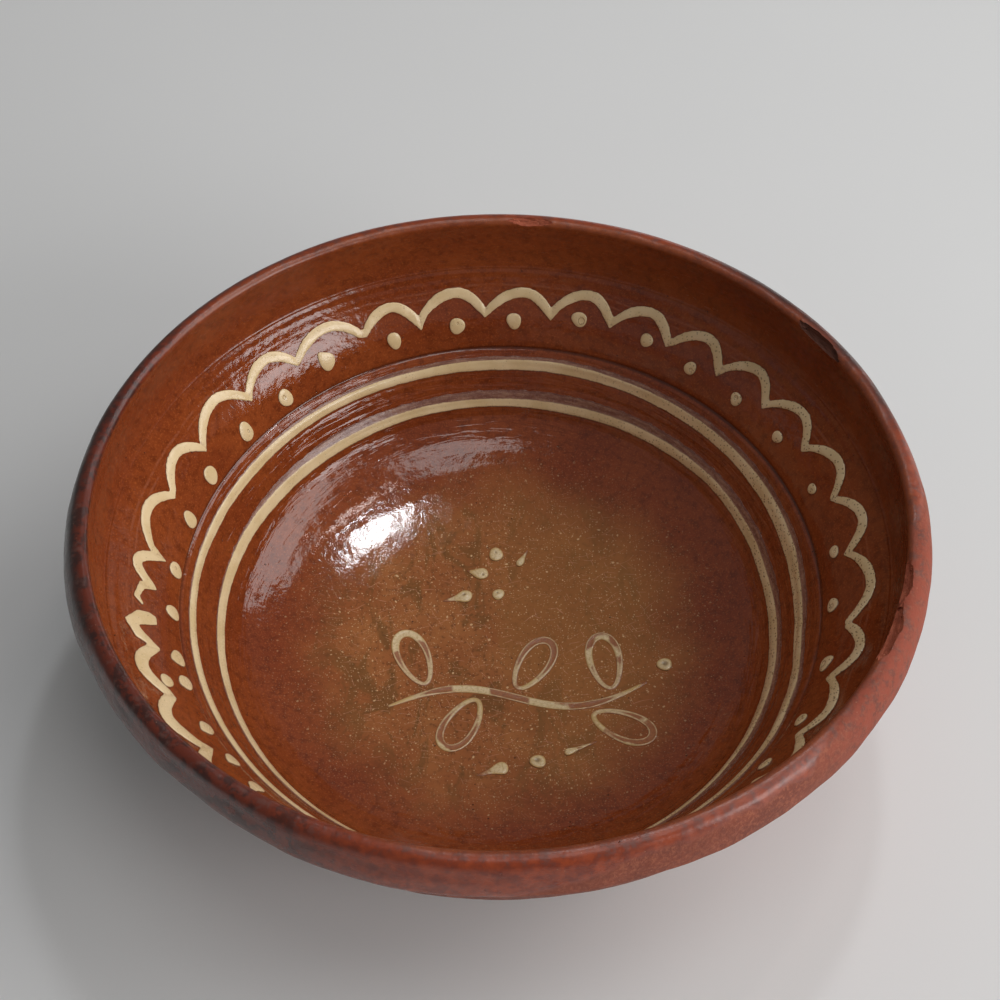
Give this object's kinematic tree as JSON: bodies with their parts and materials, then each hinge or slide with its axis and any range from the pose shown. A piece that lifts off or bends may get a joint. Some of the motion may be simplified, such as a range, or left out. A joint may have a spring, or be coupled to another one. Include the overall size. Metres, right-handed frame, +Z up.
{
  "type": "earthenware dish",
  "caption": "Deep round glazed earthenware dish with a heavy collared rim, trailed slip scallops and drops on the flange, two slip rings and a sprig in the well.",
  "frame": {"origin": "middle of the flat base, on the surface that the dish stands on", "axes": "+Z up along the axis of the dish, +X along the slightly longer way across its oval rim, to the right as one looks at the upright sprig in the well"},
  "size_m": [0.3668, 0.3532, 0.135],
  "materials": {
    "glazed_clay": "glossy brown lead glaze inside, bare red clay on the outside of the rim",
    "cream_slip": "cream slip under clear glaze, glossy",
    "worn_slip": "cream slip worn down to its outlines, satin"
  },
  "bodies": {
    "root": {"dish_body": "glazed_clay", "slip_ring_upper": "cream_slip", "slip_ring_lower": "cream_slip", "scallop_garland": "cream_slip", "border_drop_01": "cream_slip", "border_drop_02": "cream_slip", "border_drop_03": "cream_slip", "border_drop_04": "cream_slip", "border_drop_05": "cream_slip", "border_drop_06": "cream_slip", "border_drop_07": "cream_slip", "border_drop_08": "cream_slip", "border_drop_09": "cream_slip", "border_drop_10": "cream_slip", "border_drop_11": "cream_slip", "border_drop_12": "cream_slip", "border_drop_13": "cream_slip", "border_drop_14": "cream_slip", "border_drop_15": "cream_slip", "border_drop_16": "cream_slip", "border_drop_17": "cream_slip", "border_drop_18": "cream_slip", "border_drop_19": "cream_slip", "border_drop_20": "cream_slip", "border_drop_21": "cream_slip", "border_drop_22": "cream_slip", "border_drop_23": "cream_slip", "border_drop_24": "cream_slip", "border_drop_25": "cream_slip", "border_drop_26": "cream_slip", "border_drop_27": "cream_slip", "border_drop_28": "cream_slip", "border_drop_29": "cream_slip", "border_drop_30": "cream_slip", "border_drop_31": "cream_slip", "border_drop_32": "cream_slip", "border_drop_33": "cream_slip", "border_drop_34": "cream_slip", "floor_drop_01": "cream_slip", "floor_drop_02": "cream_slip", "floor_drop_03": "cream_slip", "floor_drop_04": "cream_slip", "floor_drop_05": "cream_slip", "floor_drop_06": "cream_slip", "floor_drop_07": "cream_slip", "floor_drop_08": "cream_slip", "floor_drop_09": "cream_slip", "sprig_stem": "worn_slip", "sprig_leaf_01": "worn_slip", "sprig_leaf_02": "worn_slip", "sprig_leaf_03": "worn_slip", "sprig_leaf_04": "worn_slip", "sprig_leaf_05": "worn_slip"}
  },
  "joints": []
}
